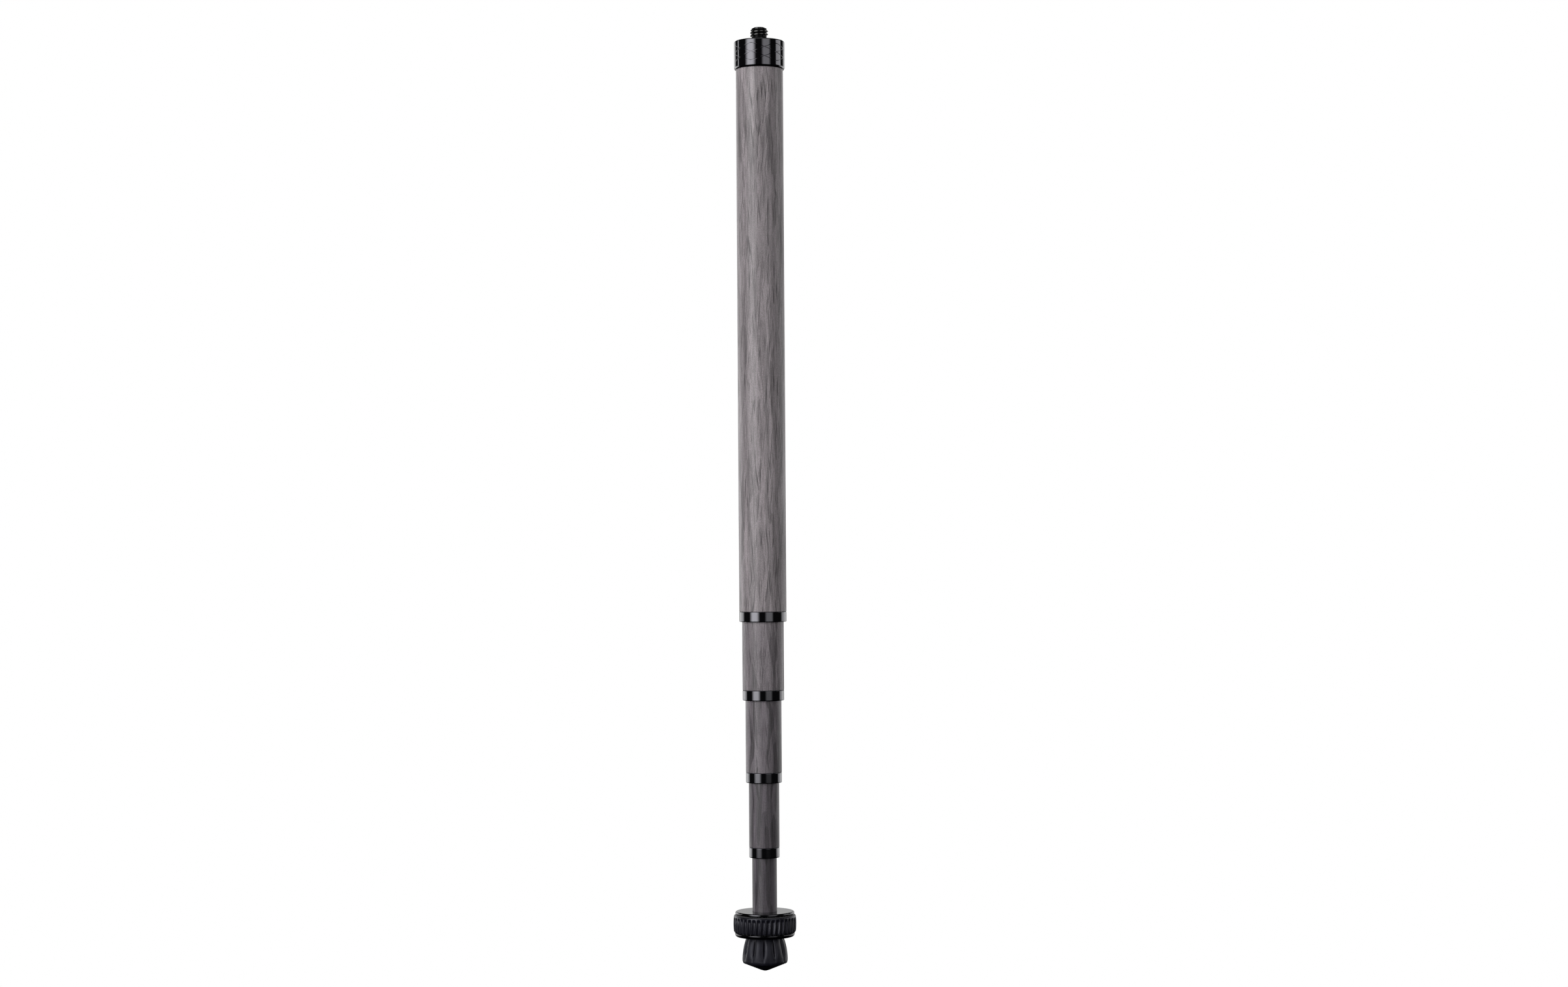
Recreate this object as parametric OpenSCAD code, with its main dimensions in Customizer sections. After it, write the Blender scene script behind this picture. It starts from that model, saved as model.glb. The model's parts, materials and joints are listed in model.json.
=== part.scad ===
// Telescoping camera monopod: five nested carbon tubes with a twist lock inside each
// joint, a camera stud on top, and a grip wheel and a fluted rubber foot at the bottom.
// The origin is the centre of the platform that the camera sits on, and +Z points up.

/* [Tubes] */
// Outer diameter of the widest tube
top_tube_od = 25; // [24.5:0.5:30]
// Length of the widest tube
top_tube_len = 297.2; // [270:0.2:340]
// Wall of every tube
tube_wall = 1; // [0.9:0.05:1.1]
// Length of the second tube that shows below the first collar
draw_2 = 36.1; // [5:0.1:100]
// Length of the third tube that shows below the second collar
draw_3 = 38; // [5:0.1:100]
// Length of the fourth tube that shows below the third collar
draw_4 = 34.1; // [5:0.1:100]
// Length of the thinnest tube that shows above the grip wheel
draw_5 = 28.3; // [5:0.1:80]

/* [Collars and guide bushes] */
// Height of the collar that shows below each outer tube
collar_h = 5.4; // [4:0.1:9]
// Height of the shadow groove between tube and collar
collar_groove_h = 0.4; // [0.3:0.1:1]
// Depth of that groove
collar_groove_depth = 0.35; // [0.2:0.05:0.5]
// Chamfer on the collar's lower edge
collar_chamfer = 0.4; // [0.2:0.1:0.6]
// Thickness of the collar's lip below the guide bush
collar_lip_h = 1; // [0.8:0.1:1.5]
// Radial clearance between that lip and the tube that slides through it
collar_lip_gap = 0.3; // [0.2:0.05:0.35]
// Length of the guide bush inside the tube
bush_len = 15; // [10:0.5:25]
// Wall of the guide bush
bush_wall = 0.37; // [0.3:0.01:0.45]

/* [Camera cap] */
// Wall of the cap round the widest tube
cap_wall = 0.95; // [0.8:0.05:3]
// Height of the cap
cap_h = 15; // [12:0.5:25]
// Thickness of the cap's top plate
plate_t = 5; // [4:0.5:8]
// Chamfer on the cap's top and bottom edges
cap_chamfer = 0.5; // [0.3:0.1:0.6]
// Height of the steep slope at the cap's lower edge
cap_hem_h = 1.2; // [0.6:0.1:2]
// Thickness of the rubber bumper under the plate
bumper_t = 5; // [4:0.5:8]
// Wall of the bumper, between the tube and the stud's head
bumper_wall = 2.9; // [2:0.1:4]
// Radial clearance of the bumper in the tube and around the stud's head
bumper_gap = 0.3; // [0.2:0.1:0.6]

/* [Camera stud] */
// Major diameter of the stud's thread
stud_d = 9.5; // [9:0.1:10]
// Height of the stud above the platform
stud_h = 7.5; // [6:0.5:12]
// Pitch of the stud's thread
stud_pitch = 1.5875; // [1.25:0.0125:1.75]
// Diameter of the plain shoulder that the stud has inside the plate
stud_shoulder_d = 11; // [10.5:0.5:12.5]
// Thickness of the stud's head below the plate
stud_head_h = 3; // [2:0.5:4]

/* [Twist locks] */
// Depth of the plug that is bonded into a tube's upper end
plug_depth = 8; // [6:0.5:14]
// Height of the plug's flange above the tube
plug_flange_h = 3; // [2:0.5:5]
// Diameter of the threaded spindle
spindle_d = 5; // [4:0.1:5.5]
// Lead of the spindle's thread
spindle_lead = 0.8; // [0.5:0.05:1]
// Turns from locked to free
lock_turns = 0.75; // [0.5:0.05:1]
// Least wall of the thinnest plug, round the corners of the spindle's head
plug_wall = 0.77; // [0.5:0.01:1.2]
// Height of the spindle's head
spindle_head_h = 3.5; // [3:0.5:4.5]
// Height of the lock nut
lock_nut_h = 3; // [2.5:0.5:4]
// Wall of the lock nut between its thread and its flats
lock_nut_wall = 1.5; // [1.2:0.1:2]
// Length of the spindle's tip above the lock nut
spindle_tip = 0.8; // [0.5:0.1:1.5]
// Height of the expander
expander_h = 14; // [12:0.5:20]
// Height of the expander's solid floor
expander_floor = 3; // [2:0.5:4]
// Wall of the expander at its upper end
expander_wall = 1.2; // [1:0.1:1.4]
// Width of the expander's slots
slot_w = 1.6; // [1.4:0.1:2]
// Number of slots in the expander
slot_count = 4; // [3:1:6]
// Half angle of the taper between expander and wedge
taper_angle = 8; // [6:0.5:9]
// Height of the wedge's head above the expander
wedge_head_h = 1.5; // [1:0.1:2.5]

/* [Grip wheel] */
// Height of the grip wheel
wheel_h = 13.1; // [11:0.1:16]
// Depth of the wheel's socket for the thinnest tube
socket_depth = 6; // [4:0.5:7]
// Radius of the wheel's upper flange
upper_flange_r = 15.6; // [15:0.1:17]
// Thickness of the upper flange
upper_flange_t = 1.6; // [1.2:0.1:2]
// Radius of the wheel's lower flange
lower_flange_r = 15.8; // [15:0.1:17]
// Thickness of the lower flange
lower_flange_t = 1.8; // [1.4:0.1:2.4]
// Radius of the core that carries the grip band
wheel_core_r = 12.8; // [12:0.1:13.5]
// Radius of the grip band at its ends, below its corners
band_end_r = 16.3; // [15.9:0.1:16.4]
// Slope at the grip band's upper and lower corners
band_corner = 0.6; // [0.4:0.1:0.8]
// Radius of the grip band at its middle
band_mid_r = 16.6; // [16.4:0.1:17]
// Turn of the ribs and grooves round the band
rib_turn = 7; // [0:0.5:9]
// Number of ribs round the grip band
rib_count = 40; // [30:1:48]
// Radius of each groove between the ribs
rib_groove_r = 0.8; // [0.6:0.05:0.85]
// Depth of the grooves at the band's middle
rib_groove_depth = 0.6; // [0.4:0.05:0.7]

/* [Foot] */
// Thickness of the washer between wheel and foot
washer_t = 0.6; // [0.4:0.1:1]
// Radius of that washer
washer_r = 8.4; // [8:0.1:9]
// Largest radius of the foot
foot_r = 12; // [11.5:0.1:13]
// Height of the foot's fluted skirt
skirt_h = 13.3; // [12:0.1:17]
// Height of the lower part of the skirt that is at the full radius
skirt_straight_h = 2.2; // [1:0.1:3]
// Radius of the arc that the skirt follows from its top to the full radius
skirt_arc_r = 29; // [27:0.5:60]
// Height of the cone below the skirt
foot_cone_h = 4.4; // [3:0.1:6]
// Radius of the small flat that stands on the ground
foot_tip_r = 1.1; // [0.8:0.1:2]
// Turn of the flutes round the foot
flute_turn = 28; // [0:1:30]
// Number of flutes round the foot
flute_count = 12; // [9:1:15]
// Radius of each flute
flute_r = 1; // [0.7:0.1:1.3]
// Depth of each flute below the top of the skirt
flute_depth_top = 0.5; // [0.3:0.1:0.8]
// Major diameter of the foot's thread
foot_thread_d = 8; // [6:0.5:9]
// Length of that thread above the washer
foot_thread_len = 8; // [7:0.5:12]
// Radius of the plate that anchors the thread in the rubber
foot_plate_r = 7.4; // [7:0.1:7.8]
// Thickness of that plate
foot_plate_t = 2.5; // [2:0.1:4]

/* [Clearances] */
// Gap filled by adhesive, or by a thread, between pieces that stay together
bond_gap = 0.05; // [0.03:0.01:0.08]
// Radial clearance of a tube in its guide bush
slide_gap = 0.08; // [0.05:0.01:0.1]
// Radial clearance of a plug's flange in the outer tube
guide_gap = 0.08; // [0.05:0.01:0.1]
// Radial clearance of an expander in the outer tube
expander_gap = 0.05; // [0.03:0.01:0.1]
// Radial clearance between expander and wedge when locked
wedge_gap = 0.05; // [0.03:0.01:0.1]
// Radial clearance between a turning thread and its nut
thread_gap = 0.05; // [0.03:0.01:0.08]
// Clearance beside each key of the wedge in its slot
key_gap = 0.15; // [0.1:0.05:0.3]
// Axial clearance between the turning parts of a lock
float_gap = 0.3; // [0.2:0.1:0.5]
// Free length above a lock when its tube is pushed right in
nest_gap = 2; // [1:0.5:5]
// Gap between grip band and flanges
band_gap = 0.3; // [0.2:0.1:0.4]

/* [Hidden] */
$fn = 96;
last = 5;
sections = [1 : last];
joints = [2 : last];
overcut = 1;
draws = [0, 0, draw_2, draw_3, draw_4, draw_5];
cap_r = top_tube_od / 2 + bond_gap + cap_wall;

// Nested tubes: diameters, lengths and heights of their ends
tube_step = 2 * (tube_wall + bond_gap + bush_wall + slide_gap);
function od(n) = top_tube_od - (n - 1) * tube_step;
function bore(n) = od(n) - 2 * tube_wall;
function in_wheel(n) = n == last ? socket_depth : 0;
function tube_len(n) =
    n == 1 ? top_tube_len
    : tube_len(n - 1) - (n == 2 ? bumper_t : plug_depth) - nest_gap - lock_h
      + collar_h + in_wheel(n);
function tube_end(n) =
    n == 1 ? -plate_t - top_tube_len
    : tube_end(n - 1) - collar_h - draws[n] - in_wheel(n);
function tube_top(n) = tube_end(n) + tube_len(n);
stud_head_r = bore(1) / 2 - 2 * bumper_gap - bumper_wall;

// Hexagons of the locks: width across the flats of the spindle's head and of the lock nut
function hex_d(flats) = flats / cos(30);
spindle_af = (bore(last) - 2 * (bond_gap + plug_wall)) * cos(30) - 2 * bond_gap;
lock_nut_af = spindle_d + 2 * lock_nut_wall;

// Twist locks: heights above the tube's upper end
wedge_travel = spindle_lead * lock_turns;
expander_z = plug_flange_h + float_gap;
expander_top = expander_z + expander_h;
wedge_top = expander_top + wedge_head_h;
lock_nut_z = wedge_top + wedge_travel + float_gap;
lock_h = lock_nut_z + lock_nut_h + spindle_tip;
function taper_top_r(n) = bore(n - 1) / 2 - expander_gap - expander_wall;
function taper_r(n, below_top) = taper_top_r(n) - below_top * tan(taper_angle);

// Grip wheel and foot: heights
wheel_top = tube_end(last) + socket_depth;
wheel_bottom = wheel_top - wheel_h;
band_top = wheel_top - upper_flange_t - band_gap;
band_h = wheel_h - upper_flange_t - lower_flange_t - 2 * band_gap;
foot_top = wheel_bottom - washer_t;
skirt_bottom = foot_top - skirt_h;
skirt_arc_h = skirt_h - skirt_straight_h;
function skirt_r(above_straight) =
    foot_r - skirt_arc_r + sqrt(pow(skirt_arc_r, 2) - pow(above_straight, 2));
skirt_top_r = skirt_r(skirt_arc_h);

// Screw thread of the camera stud
thread_depth = 0.6134 * stud_pitch;
thread_crest = stud_pitch / 8;
thread_flank = 3 / 8 * stud_pitch - thread_crest / 4;
first_groove = stud_pitch / 4;
thread_turns = floor((stud_h - first_groove) / stud_pitch);

// A ring or tube standing on z, from its two radii and its height
module ring(outer_r, inner_r, z, h) {
    translate([0, 0, z])
        difference() {
            cylinder(r = outer_r, h = h);
            translate([0, 0, -overcut]) cylinder(r = inner_r, h = h + 2 * overcut);
        }
}

// A round pin, or the cutter of a round hole, from z upwards
module pin(r, z, h) {
    translate([0, 0, z]) cylinder(r = r, h = h);
}

// A flat disc standing on z with a rolled rim, as a half turn's profile
module rolled_disc(r, z, h) {
    translate([0, z]) square([r - h / 2, h]);
    translate([r - h / 2, z + h / 2]) circle(d = h);
}

module cap() {
    color("black")
        difference() {
            rotate_extrude()
                polygon([
                    [0, 0],
                    [cap_r - cap_chamfer, 0],
                    [cap_r, -cap_chamfer],
                    [cap_r, cap_hem_h - cap_h],
                    [cap_r - cap_chamfer, -cap_h],
                    [od(1) / 2 + bond_gap, -cap_h],
                    [od(1) / 2 + bond_gap, -plate_t],
                    [0, -plate_t],
                ]);
            pin(stud_shoulder_d / 2 + bond_gap, -plate_t - overcut, plate_t + 2 * overcut);
        }
}

// The stud's thread is a row of V grooves, one at each turn
module camera_stud() {
    root_r = stud_d / 2 - thread_depth;
    color("black") {
        pin(stud_head_r, -plate_t - stud_head_h, stud_head_h);
        pin(stud_shoulder_d / 2, -plate_t, plate_t);
        rotate_extrude()
            polygon(concat(
                [[0, 0], [stud_d / 2, 0]],
                [
                    for (i = [0 : thread_turns - 1])
                        let (z = first_groove + i * stud_pitch)
                            each [
                                [stud_d / 2, z],
                                [root_r, z + thread_flank],
                                [root_r, z + stud_pitch - thread_crest - thread_flank],
                                [stud_d / 2, z + stud_pitch - thread_crest],
                            ]
                ],
                [
                    [stud_d / 2, first_groove + thread_turns * stud_pitch],
                    [root_r, stud_h],
                    [0, stud_h],
                ]
            ));
    }
}

module bumper() {
    color("dimgray")
        ring(bore(1) / 2 - bumper_gap, stud_head_r + bumper_gap, -plate_t - bumper_t, bumper_t);
}

module tube(n) {
    color("gray") ring(od(n) / 2, bore(n) / 2, tube_end(n), tube_len(n));
}

module collar(n) {
    outer_r = od(n) / 2;
    top = tube_end(n);
    bottom = top - collar_h;
    color("black")
        rotate_extrude()
            polygon([
                [bore(n) / 2, top],
                [outer_r - collar_groove_depth, top],
                [outer_r - collar_groove_depth, top - collar_groove_h],
                [outer_r, top - collar_groove_h],
                [outer_r, bottom + collar_chamfer],
                [outer_r - collar_chamfer, bottom],
                [od(n + 1) / 2 + collar_lip_gap, bottom],
                [od(n + 1) / 2 + collar_lip_gap, bottom + collar_lip_h],
                [bore(n) / 2, bottom + collar_lip_h],
            ]);
}

module guide_bush(n) {
    bottom = tube_end(n) - collar_h + collar_lip_h;
    color("white")
        ring(bore(n) / 2 - bond_gap, od(n + 1) / 2 + slide_gap, bottom,
            tube_end(n) + bush_len - bottom);
}

module lock_plug(n) {
    color("silver")
        translate([0, 0, tube_top(n)])
            difference() {
                union() {
                    translate([0, 0, -plug_depth])
                        cylinder(d = bore(n) - 2 * bond_gap, h = plug_depth);
                    cylinder(d = bore(n - 1) - 2 * guide_gap, h = plug_flange_h);
                }
                pin(spindle_d / 2 + bond_gap, -plug_depth - overcut,
                    plug_depth + plug_flange_h + 2 * overcut);
                translate([0, 0, -plug_depth - overcut])
                    cylinder(d = hex_d(spindle_af + 2 * bond_gap),
                        h = spindle_head_h + overcut, $fn = 6);
            }
}

module spindle(n) {
    color("lightgray")
        translate([0, 0, tube_top(n) - plug_depth]) {
            cylinder(d = hex_d(spindle_af), h = spindle_head_h, $fn = 6);
            cylinder(d = spindle_d, h = plug_depth + lock_h);
        }
}

module expander(n) {
    taper_h = expander_h - expander_floor;
    color("white")
        translate([0, 0, tube_top(n) + expander_z])
            difference() {
                cylinder(r = bore(n - 1) / 2 - expander_gap, h = expander_h);
                pin(spindle_d / 2 + thread_gap, -overcut, expander_h);
                translate([0, 0, expander_floor])
                    cylinder(r1 = taper_r(n, taper_h), r2 = taper_r(n, -overcut),
                        h = taper_h + overcut);
                for (i = [0 : slot_count - 1])
                    rotate(i * 360 / slot_count)
                        translate([0, -slot_w / 2, expander_floor])
                            cube([bore(n - 1), slot_w, expander_h]);
            }
}

// The wedge's keys run in the expander's slots and keep it from turning
module wedge(n) {
    wedge_h = expander_h - expander_floor - wedge_head_h;
    key_w = slot_w - 2 * key_gap;
    key_reach = bore(n - 1) / 2 - expander_gap - float_gap;
    color("silver")
        translate([0, 0, tube_top(n) + expander_top])
            difference() {
                union() {
                    translate([0, 0, -wedge_h])
                        cylinder(r1 = taper_r(n, wedge_h) - wedge_gap,
                            r2 = taper_r(n, 0) - wedge_gap, h = wedge_h);
                    cylinder(r = taper_r(n, 0) - wedge_gap, h = wedge_head_h);
                    for (i = [0 : slot_count - 1])
                        rotate(i * 360 / slot_count)
                            translate([0, -key_w / 2, -wedge_h]) cube([key_reach, key_w, wedge_h]);
                }
                pin(spindle_d / 2 + thread_gap, -wedge_h - overcut,
                    wedge_h + wedge_head_h + 2 * overcut);
            }
}

module lock_nut(n) {
    color("lightgray")
        translate([0, 0, tube_top(n) + lock_nut_z])
            difference() {
                cylinder(d = hex_d(lock_nut_af), h = lock_nut_h, $fn = 6);
                pin(spindle_d / 2 + bond_gap, -overcut, lock_nut_h + 2 * overcut);
            }
}

module wheel_hub() {
    color("black")
        difference() {
            rotate_extrude() {
                rolled_disc(upper_flange_r, wheel_top - upper_flange_t, upper_flange_t);
                rolled_disc(lower_flange_r, wheel_bottom, lower_flange_t);
                translate([0, wheel_bottom]) square([wheel_core_r, wheel_h]);
            }
            pin(od(last) / 2 + bond_gap, wheel_top - socket_depth, socket_depth + overcut);
            pin(foot_thread_d / 2 + thread_gap, wheel_bottom - overcut, wheel_h);
        }
}

// The band swells a little and has sloped corners, in which the straight grooves run out
module wheel_band() {
    swell_steps = 6;
    swell = band_mid_r - band_end_r;
    straight_h = band_h - 2 * band_corner;
    color("black")
        difference() {
            rotate_extrude()
                polygon(concat(
                    [
                        [wheel_core_r + bond_gap, band_top - band_h],
                        [wheel_core_r + bond_gap, band_top],
                        [band_end_r - band_corner, band_top],
                    ],
                    [
                        for (i = [0 : swell_steps])
                            let (s = i / swell_steps)
                                [
                                    band_end_r + swell * (1 - pow(2 * s - 1, 2)),
                                    band_top - band_corner - straight_h * s,
                                ]
                    ],
                    [[band_end_r - band_corner, band_top - band_h]]
                ));
            for (i = [0 : rib_count - 1])
                rotate(i * 360 / rib_count + rib_turn)
                    translate([band_mid_r - rib_groove_depth + rib_groove_r, 0, band_top - band_h])
                        cylinder(r = rib_groove_r, h = band_h, $fn = 24);
        }
}

module foot_washer() {
    color("black") ring(washer_r, foot_thread_d / 2 + thread_gap, foot_top, washer_t);
}

module foot_stud() {
    color("silver") {
        pin(foot_plate_r, foot_top - foot_plate_t, foot_plate_t);
        pin(foot_thread_d / 2, foot_top - foot_plate_t, foot_plate_t + washer_t + foot_thread_len);
    }
}

// Each flute leans outwards down the skirt, so that it runs out at the full radius
module foot_rubber() {
    arc_steps = 8;
    flute_top_r = skirt_top_r - flute_depth_top + flute_r;
    flute_bottom_r = foot_r + flute_r;
    color("black")
        difference() {
            rotate_extrude()
                polygon(concat(
                    [[0, foot_top]],
                    [
                        for (i = [arc_steps : -1 : 0])
                            let (h = skirt_arc_h * i / arc_steps)
                                [skirt_r(h), skirt_bottom + skirt_straight_h + h]
                    ],
                    [
                        [foot_r, skirt_bottom],
                        [foot_tip_r, skirt_bottom - foot_cone_h],
                        [0, skirt_bottom - foot_cone_h],
                    ]
                ));
            pin(foot_plate_r + bond_gap, foot_top - foot_plate_t - bond_gap, foot_plate_t + overcut);
            for (i = [0 : flute_count - 1])
                rotate(i * 360 / flute_count + flute_turn)
                    translate([flute_bottom_r, 0, skirt_bottom])
                        rotate([0, -atan2(flute_bottom_r - flute_top_r, skirt_h), 0])
                            cylinder(r = flute_r, h = skirt_h + 2 * overcut, $fn = 24);
        }
}

cap();
camera_stud();
bumper();
for (n = sections)
    tube(n);
for (n = [1 : last - 1]) {
    collar(n);
    guide_bush(n);
}
for (n = joints) {
    lock_plug(n);
    spindle(n);
    expander(n);
    wedge(n);
    lock_nut(n);
}
wheel_hub();
wheel_band();
foot_washer();
foot_stud();
foot_rubber();
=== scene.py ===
import json
from math import asin, ceil, cos, pi, radians, sin, sqrt, tan

import bmesh
import bpy
from bpy.props import FloatProperty, FloatVectorProperty, IntProperty, PointerProperty
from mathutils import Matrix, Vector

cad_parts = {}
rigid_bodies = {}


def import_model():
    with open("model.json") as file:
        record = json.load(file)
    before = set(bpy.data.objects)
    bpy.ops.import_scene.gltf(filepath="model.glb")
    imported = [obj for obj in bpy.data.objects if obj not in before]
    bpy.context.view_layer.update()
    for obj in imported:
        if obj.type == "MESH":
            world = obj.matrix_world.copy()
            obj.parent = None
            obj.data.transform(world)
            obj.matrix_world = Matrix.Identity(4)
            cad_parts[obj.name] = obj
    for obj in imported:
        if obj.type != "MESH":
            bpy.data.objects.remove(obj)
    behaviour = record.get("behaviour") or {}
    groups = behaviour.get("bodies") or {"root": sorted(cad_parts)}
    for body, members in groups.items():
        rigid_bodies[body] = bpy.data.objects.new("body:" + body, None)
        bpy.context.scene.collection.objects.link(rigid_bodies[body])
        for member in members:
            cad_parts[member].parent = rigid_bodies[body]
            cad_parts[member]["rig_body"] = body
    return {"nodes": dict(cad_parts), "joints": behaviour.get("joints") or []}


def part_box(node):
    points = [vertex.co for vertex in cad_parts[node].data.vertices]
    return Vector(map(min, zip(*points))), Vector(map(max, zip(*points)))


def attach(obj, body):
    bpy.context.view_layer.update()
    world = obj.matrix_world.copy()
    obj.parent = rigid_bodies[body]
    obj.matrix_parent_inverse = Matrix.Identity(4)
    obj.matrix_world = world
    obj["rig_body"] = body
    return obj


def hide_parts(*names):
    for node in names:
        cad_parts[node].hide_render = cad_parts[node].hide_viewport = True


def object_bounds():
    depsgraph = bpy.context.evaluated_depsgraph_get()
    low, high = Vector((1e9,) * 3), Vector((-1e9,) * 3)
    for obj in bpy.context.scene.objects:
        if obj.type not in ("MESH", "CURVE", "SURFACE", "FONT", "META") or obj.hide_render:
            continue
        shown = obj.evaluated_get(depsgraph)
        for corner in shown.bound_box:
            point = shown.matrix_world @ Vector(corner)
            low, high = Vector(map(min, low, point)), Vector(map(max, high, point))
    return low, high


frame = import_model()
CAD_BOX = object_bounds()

bl_info = {
    "name": "Telescoping Camera Monopod",
    "version": (1, 0, 0),
    "blender": (4, 5, 0),
    "location": "View3D > Sidebar > Monopod",
    "description": "Dresses the packed monopod with finished pieces, materials and a small studio",
    "category": "Add Mesh",
}

MM = 0.001
# The tubes and collars are numbered from the widest
TUBES = (1, 2, 3, 4, 5)
# The angle of the camera's side, counted from +X
FRONT = -pi / 2
# Depth of a thread as a share of its pitch
THREAD_DEPTH = 0.6134


def srgb(code):
    """A hex colour such as #8a8486 as the linear red, green and blue that Blender works in."""
    parts = [int(code[i:i + 2], 16) / 255 for i in (1, 3, 5)]
    return [c / 12.92 if c <= 0.04045 else ((c + 0.055) / 1.055) ** 2.4 for c in parts]


def reach(node):
    """Radius, bottom and top of a round CAD node."""
    low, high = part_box(node)
    return round(high.x, 5), round(low.z, 5), round(high.z, 5)


def body_of(node):
    """The CAD body that a node rides on."""
    return frame["nodes"][node]["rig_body"]


# Sizes and colours that a user would change

def length(name, description, default):
    return FloatProperty(name=name, description=description, default=default * MM,
                         min=0.01 * MM, precision=5, unit="LENGTH")


def colour(name, description, code):
    return FloatVectorProperty(name=name, description=description, default=srgb(code),
                               min=0, max=1, size=3, subtype="COLOR")


class MonopodSizes(bpy.types.PropertyGroup):
    """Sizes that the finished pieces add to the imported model."""

    columns: IntProperty(name="Columns", default=144, min=48, max=288,
                         description="Number of faces round a turned piece")
    edge: length("Edge Radius", "Rounding of the tubes' and collars' edges", 0.2)
    wave_height: length("Wave Height", "Half the height of the waves engraved round the cap", 4.55)
    wave_depth: length("Wave Depth", "Depth of the engraved waves", 0.06)
    wave_width: length("Wave Width", "Width of the engraved waves", 0.36)
    wave_phase: FloatProperty(name="Wave Phase", default=radians(-18.3), subtype="ANGLE",
                              description="Angle from the front to the crest of the first wave")
    rib_count: IntProperty(name="Ribs", default=40, min=12, max=60,
                           description="Number of ribs round the grip band")
    rib_depth: length("Rib Depth", "Depth of the hollows between the ribs", 0.72)
    rib_margin: length("Rib Margin", "Plain strip above the ribs", 0.5)
    rib_bow: length("Rib Bow", "How far the ribs bend sideways at their lower ends", 0.4)
    rib_turn: FloatProperty(name="Rib Turn", default=radians(2.5), subtype="ANGLE",
                            description="Turn of the ribs round the band")
    petal_count: IntProperty(name="Petals", default=12, min=6, max=18,
                             description="Number of petals round the rubber foot")
    petal_depth: length("Petal Depth", "Depth of the valleys between the petals", 1.1)
    petal_turn: FloatProperty(name="Petal Turn", default=radians(27), subtype="ANGLE",
                              description="Turn of the petals round the foot")
    stud_pitch: length("Stud Pitch", "Pitch of the camera stud's thread", 1.5875)
    foot_pitch: length("Foot Pitch", "Pitch of the foot's thread", 1.25)


class MonopodColours(bpy.types.PropertyGroup):
    """Colours of the finishes and of the floor."""

    laminate: colour("Laminate", "Widest carbon tube", "#898285")
    # The thinnest tube's colour is darker than the widest's, in part a painted shade for the light
    # that falls off towards the bottom
    laminate_thin_shaded: colour("Thin Laminate", "Thinnest carbon tube", "#4e494f")
    anodised: colour("Anodised", "Black anodised aluminium", "#030304")
    oxide: colour("Black Oxide", "Black steel of the camera stud", "#09090a")
    rubber: colour("Rubber", "Grip band and foot", "#0f0f17")
    alloy: colour("Alloy", "Turned aluminium inside the joints", "#b4b6b9")
    steel: colour("Steel", "Zinc plated spindles and foot screw", "#a9adb0")
    acetal: colour("Acetal", "Guide bushes and expanders", "#dedbd2")
    acetal_black: colour("Black Acetal", "Washer above the foot", "#151517")
    floor: colour("Floor", "Pale studio floor", "#f2f2f2")


def sizes():
    return bpy.context.scene.monopod_sizes


def colours():
    return bpy.context.scene.monopod_colours


# Node trees

def add(tree, kind, inputs=None, stops=(), **settings):
    """Adds a node with its settings, and sets or links its inputs by name or number. stops are
    the (place, linear colour) pairs of a colour ramp."""
    node = tree.nodes.new(kind)
    for key, value in settings.items():
        setattr(node, key, value)
    for key, value in (inputs or {}).items():
        if isinstance(value, bpy.types.NodeSocket):
            tree.links.new(value, node.inputs[key])
        else:
            node.inputs[key].default_value = value
    if stops:
        points = node.color_ramp.elements
        while len(points) < len(stops):
            points.new(0.5)
        for point, (place, shade) in zip(points, stops):
            point.position = place
            point.color = (*shade, 1)
    return node


def shaded(shade, factor):
    """A linear colour made darker or lighter by a factor."""
    return [min(1, c * factor) for c in shade]


def new_material(name):
    """An empty material, its tree, and the object's own coordinates in metres."""
    made = bpy.data.materials.new(name)
    made.use_nodes = True
    made.node_tree.nodes.clear()
    tree = made.node_tree
    return made, tree, add(tree, "ShaderNodeTexCoord").outputs["Object"]


def stretched(tree, place, size, along):
    """Coordinates for a pattern, size metres across and along times longer down the axis."""
    return add(tree, "ShaderNodeMapping", {
        "Vector": place, "Scale": (1 / size, 1 / size, 1 / (size * along)),
    }).outputs["Vector"]


def finish_with(made, tree, inputs):
    """Gives a material its shader, with those inputs, and hands it back."""
    shader = add(tree, "ShaderNodeBsdfPrincipled", inputs)
    add(tree, "ShaderNodeOutputMaterial", {"Surface": shader.outputs["BSDF"]})
    return made


def leaning(tree, place, radius, lean):
    """Coordinates that turn round the axis with height, so that on a wall of that radius a
    pattern stretched down the axis leans by lean degrees."""
    height = add(tree, "ShaderNodeSeparateXYZ", {0: place}).outputs["Z"]
    angle = add(tree, "ShaderNodeMath", {
        0: height, 1: tan(radians(lean)) / radius}, operation="MULTIPLY").outputs[0]
    return add(tree, "ShaderNodeVectorRotate", {
        "Vector": place, "Angle": angle}, rotation_type="Z_AXIS").outputs[0]


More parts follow.
